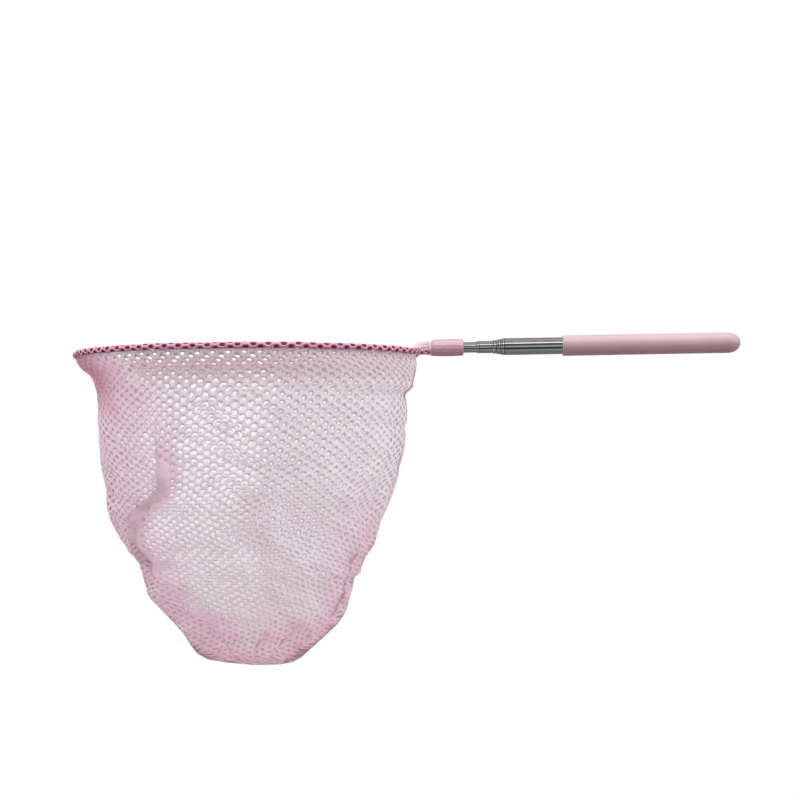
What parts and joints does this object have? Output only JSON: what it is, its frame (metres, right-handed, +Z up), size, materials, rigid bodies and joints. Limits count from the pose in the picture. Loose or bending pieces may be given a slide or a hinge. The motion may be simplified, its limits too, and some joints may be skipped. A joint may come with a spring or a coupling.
{
  "type": "telescopic dip net",
  "caption": "Hand net with a slim domed grip, nested sliding steel tubes, a collar and a round wire hoop carrying a tapering knitted net bag.",
  "frame": {"origin": "middle of the grip's length, on the handle's axis", "axes": "+X along the handle from the hoop towards the grip's domed end; the hoop lies in the XY plane; +Z is up, away from the hanging bag"},
  "size_m": [0.3865, 0.2018, 0.1876],
  "materials": {
    "grip_pink": "satin moulded pink plastic",
    "collar_pink": "glossy moulded pink plastic",
    "plug_white": "plain moulded plastic",
    "tube_steel": "polished drawn stainless tube",
    "spring_brass": "plain rolled strip",
    "wire_steel": "drawn spring wire",
    "sheath_magenta": "dark magenta plastic covering",
    "hem_fabric": "knitted polyester net, folded double",
    "net_fabric": "knitted polyester net with small oval holes",
    "seam_thread": "overlocked polyester thread"
  },
  "bodies": {
    "handle": {"grip_sleeve": "grip_pink", "butt_plug": "plug_white", "tube_1_outer": "tube_steel"},
    "stage_2": {"tube_2": "tube_steel", "friction_spring_2": "spring_brass"},
    "stage_3": {"tube_3": "tube_steel", "friction_spring_3": "spring_brass"},
    "stage_4": {"tube_4": "tube_steel", "friction_spring_4": "spring_brass"},
    "stage_5": {"friction_spring_5": "spring_brass"},
    "head": {"tube_5_tip": "tube_steel", "collar": "collar_pink", "collar_core": "plug_white", "hoop_wire": "wire_steel", "hoop_sheath": "sheath_magenta", "hem_casing": "hem_fabric", "hem_stitching": "seam_thread", "neck_gather": "hem_fabric", "bag_front_panel": "net_fabric", "bag_back_panel": "net_fabric", "bag_seam": "seam_thread"}
  },
  "joints": [
    {"name": "tube_2_slide", "type": "slide", "parent": "handle", "child": "stage_2", "axis": [-1, 0, 0], "range_m": [0, 0.112]},
    {"name": "tube_3_slide", "type": "slide", "parent": "stage_2", "child": "stage_3", "axis": [-1, 0, 0], "range_m": [0, 0.112]},
    {"name": "tube_4_slide", "type": "slide", "parent": "stage_3", "child": "stage_4", "axis": [-1, 0, 0], "range_m": [-0.0072, 0.109]},
    {"name": "tube_5_slide", "type": "slide", "parent": "stage_4", "child": "stage_5", "axis": [-1, 0, 0], "range_m": [-0.0065, 0.111]},
    {"name": "head_swivel", "type": "hinge", "parent": "stage_5", "child": "head", "pos_m": [-0.109, 0, 0], "axis": [1, 0, 0], "continuous": true}
  ]
}
